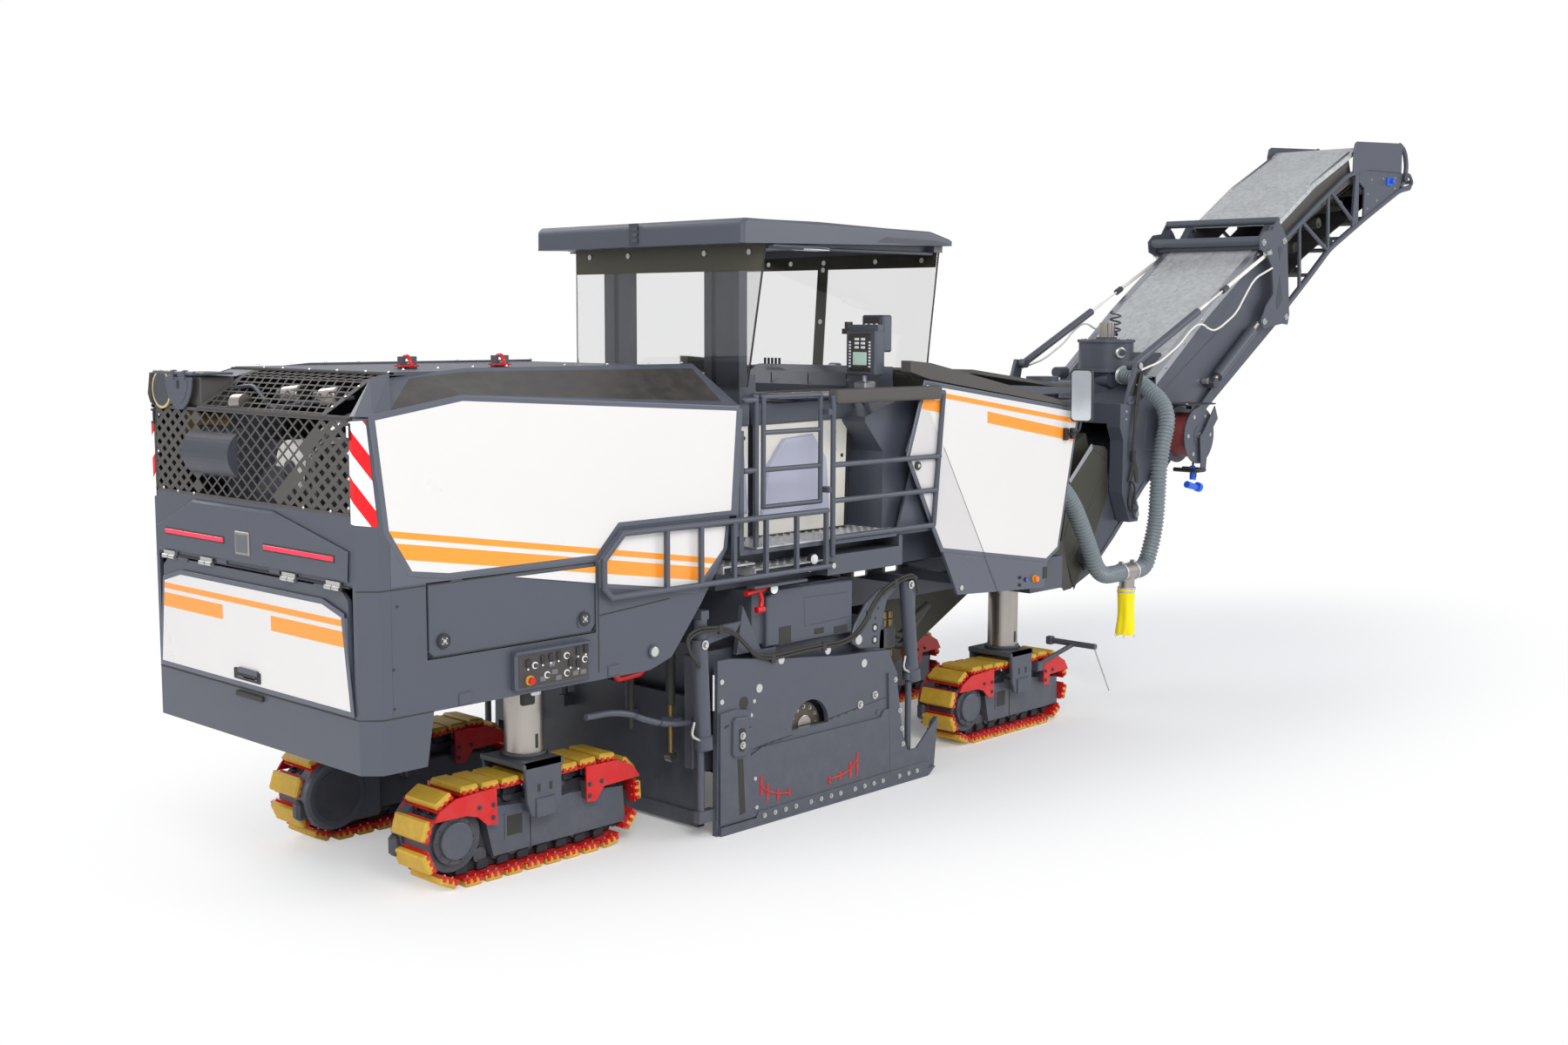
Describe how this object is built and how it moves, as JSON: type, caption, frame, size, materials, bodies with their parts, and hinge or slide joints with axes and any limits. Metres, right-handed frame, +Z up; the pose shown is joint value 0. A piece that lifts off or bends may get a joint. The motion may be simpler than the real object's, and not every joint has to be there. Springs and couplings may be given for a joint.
{
  "type": "cold planer milling machine",
  "caption": "Tracked cold planer with a height-adjustable canopy, steered lifting tracks, a milling drum with edge plates and a slewing, folding front discharge conveyor.",
  "frame": {"origin": "centre of the bounding box's bottom face, on the ground under the middle of the overall length", "axes": "+X forward towards the discharge conveyor's tip, +Y to the machine's left, +Z up"},
  "size_m": [14.754, 2.84, 5.48],
  "materials": {
    "grey_paint": "satin dark grey paint",
    "white_paint": "gloss white paint with orange stripes",
    "dark_panel": "matte black-brown paint",
    "track_red": "red paint over steel, yellow pads",
    "cast": "cast, dark",
    "drum_steel": "worn steel",
    "glass": "clear safety glass",
    "rubber": "black rubber",
    "hose_grey": "ribbed grey plastic",
    "yellow_fabric": "coated yellow fabric",
    "seat_leather": "black padded upholstery",
    "plain_plastic": "black plastic",
    "steel": "brushed steel"
  },
  "bodies": {
    "machine": {"chassis_frame": "grey_paint", "engine_block": "cast", "cooling_unit": "steel", "exhaust_outlet": "dark_panel", "rear_grille": "dark_panel", "roof_grille": "dark_panel", "rear_shell": "grey_paint", "hood_sides": "white_paint", "hood_roof": "dark_panel", "lower_sides": "grey_paint", "platform": "grey_paint", "consoles": "grey_paint", "seats": "seat_leather", "seat_bases": "plain_plastic", "railings": "grey_paint", "canopy_posts": "grey_paint", "front_panels": "white_paint", "front_hood": "grey_paint", "primary_conveyor": "rubber", "drum_housing": "grey_paint", "lift_cylinders": "grey_paint", "control_panels": "plain_plastic", "mirrors": "plain_plastic", "suction_hose": "hose_grey"},
    "drum": {"milling_drum": "drum_steel"},
    "scraper": {"scraper_blade": "grey_paint"},
    "rear_door_leaf": {"rear_door": "white_paint"},
    "canopy": {"canopy_roof": "grey_paint", "canopy_glass": "glass"},
    "swivel": {"slewing_frame": "grey_paint"},
    "conveyor_lower": {"lower_conveyor": "grey_paint", "dust_hose": "hose_grey", "dust_sleeve": "yellow_fabric"},
    "conveyor_upper": {"upper_conveyor": "grey_paint"},
    "reel": {"hose_reel": "rubber"},
    "stay_tubes": {"stay_barrels": "grey_paint"},
    "stay_bars": {"stay_rods": "steel"},
    "track_front_right": {"track_loop_front_right": "track_red", "track_frame_front_right": "grey_paint"},
    "track_front_left": {"track_loop_front_left": "track_red", "track_frame_front_left": "grey_paint"},
    "track_rear_right": {"track_loop_rear_right": "track_red", "track_frame_rear_right": "grey_paint"},
    "track_rear_left": {"track_loop_rear_left": "track_red", "track_frame_rear_left": "grey_paint"},
    "edge_plate_right": {"side_plate_right": "grey_paint"},
    "flap_right": {"side_flap_right": "grey_paint"},
    "access_ladder_right": {"ladder_right": "grey_paint"},
    "access_gate_right": {"gate_right": "grey_paint"},
    "edge_plate_left": {"side_plate_left": "grey_paint"},
    "flap_left": {"side_flap_left": "grey_paint"},
    "access_ladder_left": {"ladder_left": "grey_paint"},
    "access_gate_left": {"gate_left": "grey_paint"}
  },
  "joints": [
    {"name": "front_steer_right", "type": "hinge", "parent": "machine", "child": "track_front_right", "pos_m": [-0.803, -0.7, 0.7], "axis": [0, 0, 1], "range_deg": [-18, 18]},
    {"name": "front_steer_left", "type": "hinge", "parent": "machine", "child": "track_front_left", "pos_m": [-0.803, 0.7, 0.7], "axis": [0, 0, 1], "range_deg": [-18, 18]},
    {"name": "rear_steer_right", "type": "hinge", "parent": "machine", "child": "track_rear_right", "pos_m": [-5.873, -0.7, 0.7], "axis": [0, 0, 1], "range_deg": [-18, 18]},
    {"name": "rear_steer_left", "type": "hinge", "parent": "machine", "child": "track_rear_left", "pos_m": [-5.873, 0.7, 0.7], "axis": [0, 0, 1], "range_deg": [-18, 18]},
    {"name": "drum_spin", "type": "hinge", "parent": "machine", "child": "drum", "pos_m": [-3.743, 0, 0.6], "axis": [0, 1, 0], "continuous": true},
    {"name": "side_plate_lift_right", "type": "slide", "parent": "machine", "child": "edge_plate_right", "axis": [0, 0, 1], "range_m": [0, 0.35]},
    {"name": "flap_hinge_right", "type": "hinge", "parent": "machine", "child": "flap_right", "pos_m": [-6.943, -1.212, 1.9517], "axis": [1, 0, 0], "range_deg": [-80, 0]},
    {"name": "ladder_hinge_right", "type": "hinge", "parent": "machine", "child": "access_ladder_right", "pos_m": [-3.623, -1.265, 1.73], "axis": [0, -1, 0], "range_deg": [0, 50]},
    {"name": "gate_hinge_right", "type": "hinge", "parent": "machine", "child": "access_gate_right", "pos_m": [-3.643, -1.19, 2.18], "axis": [0, 0, 1], "range_deg": [0, 90]},
    {"name": "side_plate_lift_left", "type": "slide", "parent": "machine", "child": "edge_plate_left", "axis": [0, 0, 1], "range_m": [0, 0.35]},
    {"name": "flap_hinge_left", "type": "hinge", "parent": "machine", "child": "flap_left", "pos_m": [-6.943, 1.212, 1.9517], "axis": [1, 0, 0], "range_deg": [0, 80]},
    {"name": "ladder_hinge_left", "type": "hinge", "parent": "machine", "child": "access_ladder_left", "pos_m": [-3.623, 1.265, 1.73], "axis": [0, -1, 0], "range_deg": [0, 50]},
    {"name": "gate_hinge_left", "type": "hinge", "parent": "machine", "child": "access_gate_left", "pos_m": [-3.643, 1.19, 2.18], "axis": [0, 0, 1], "range_deg": [-90, 0]},
    {"name": "scraper_lift", "type": "slide", "parent": "machine", "child": "scraper", "axis": [0, 0, 1], "range_m": [0, 0.3]},
    {"name": "rear_door_hinge", "type": "hinge", "parent": "machine", "child": "rear_door_leaf", "pos_m": [-7.345, 0, 1.945], "axis": [0, 1, 0], "range_deg": [0, 85]},
    {"name": "canopy_lift", "type": "slide", "parent": "machine", "child": "canopy", "axis": [0, 0, 1], "range_m": [-0.5, 0]},
    {"name": "conveyor_slew", "type": "hinge", "parent": "machine", "child": "swivel", "pos_m": [0.707, 0, 2.8], "axis": [0, 0, 1], "range_deg": [-60, 60], "deforming": ["suction_hose"]},
    {"name": "conveyor_lift", "type": "hinge", "parent": "swivel", "child": "conveyor_lower", "pos_m": [1.237, 0, 1.67], "axis": [0, -1, 0], "range_deg": [-10, 6]},
    {"name": "conveyor_fold", "type": "hinge", "parent": "conveyor_lower", "child": "conveyor_upper", "pos_m": [4.037, 0, 4.39], "axis": [0, -1, 0], "range_deg": [0, 150]},
    {"name": "reel_spin", "type": "hinge", "parent": "conveyor_lower", "child": "reel", "pos_m": [2.037, -0.755, 2.37], "axis": [0, 1, 0], "continuous": true},
    {"name": "stay_tilt", "type": "hinge", "parent": "swivel", "child": "stay_tubes", "pos_m": [1.257, 0, 3.03], "axis": [0, -1, 0], "range_deg": [-12.23, 7.42]},
    {"name": "stay_slide", "type": "slide", "parent": "stay_tubes", "child": "stay_bars", "axis": [0.9156, 0, 0.4021], "range_m": [-0.1325, 0.2189]}
  ],
  "couplings": [
    {"joint": "front_steer_left", "follows": "front_steer_right", "ratio": 1},
    {"joint": "rear_steer_left", "follows": "rear_steer_right", "ratio": 1},
    {"joint": "stay_tilt", "follows": "conveyor_lift", "ratio": 1.203},
    {"joint": "stay_slide", "follows": "conveyor_lift", "m_per_rad": -1.237}
  ]
}
